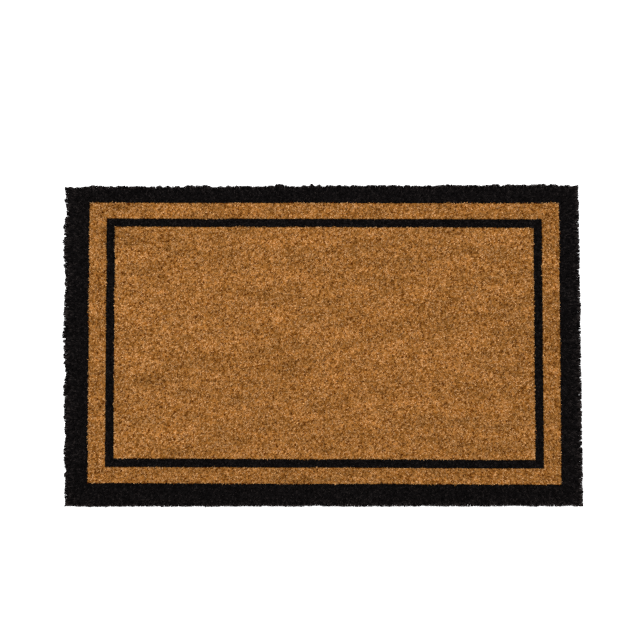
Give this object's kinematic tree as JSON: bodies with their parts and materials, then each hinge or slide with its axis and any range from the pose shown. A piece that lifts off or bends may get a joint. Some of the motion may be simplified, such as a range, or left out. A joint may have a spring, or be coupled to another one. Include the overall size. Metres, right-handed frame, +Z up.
{
  "type": "door mat",
  "caption": "Rectangular coir door mat on a vinyl backing, with a black printed border and a thin inner frame line.",
  "frame": {"origin": "centre of the flat underside, on the floor", "axes": "+X along the mat's length, +Y across it towards the back edge, +Z up out of the pile"},
  "size_m": [0.8, 0.5, 0.015],
  "materials": {
    "vinyl_backing": "matt black foamed vinyl with a fine belt texture underneath",
    "natural_coir": "natural golden-brown coconut fibre, upright cut pile",
    "black_coir": "coconut fibre printed black, upright cut pile"
  },
  "bodies": {
    "root": {"backing_sheet": "vinyl_backing", "border_pile": "black_coir", "band_pile": "natural_coir", "line_pile": "black_coir", "field_pile": "natural_coir"}
  },
  "joints": []
}
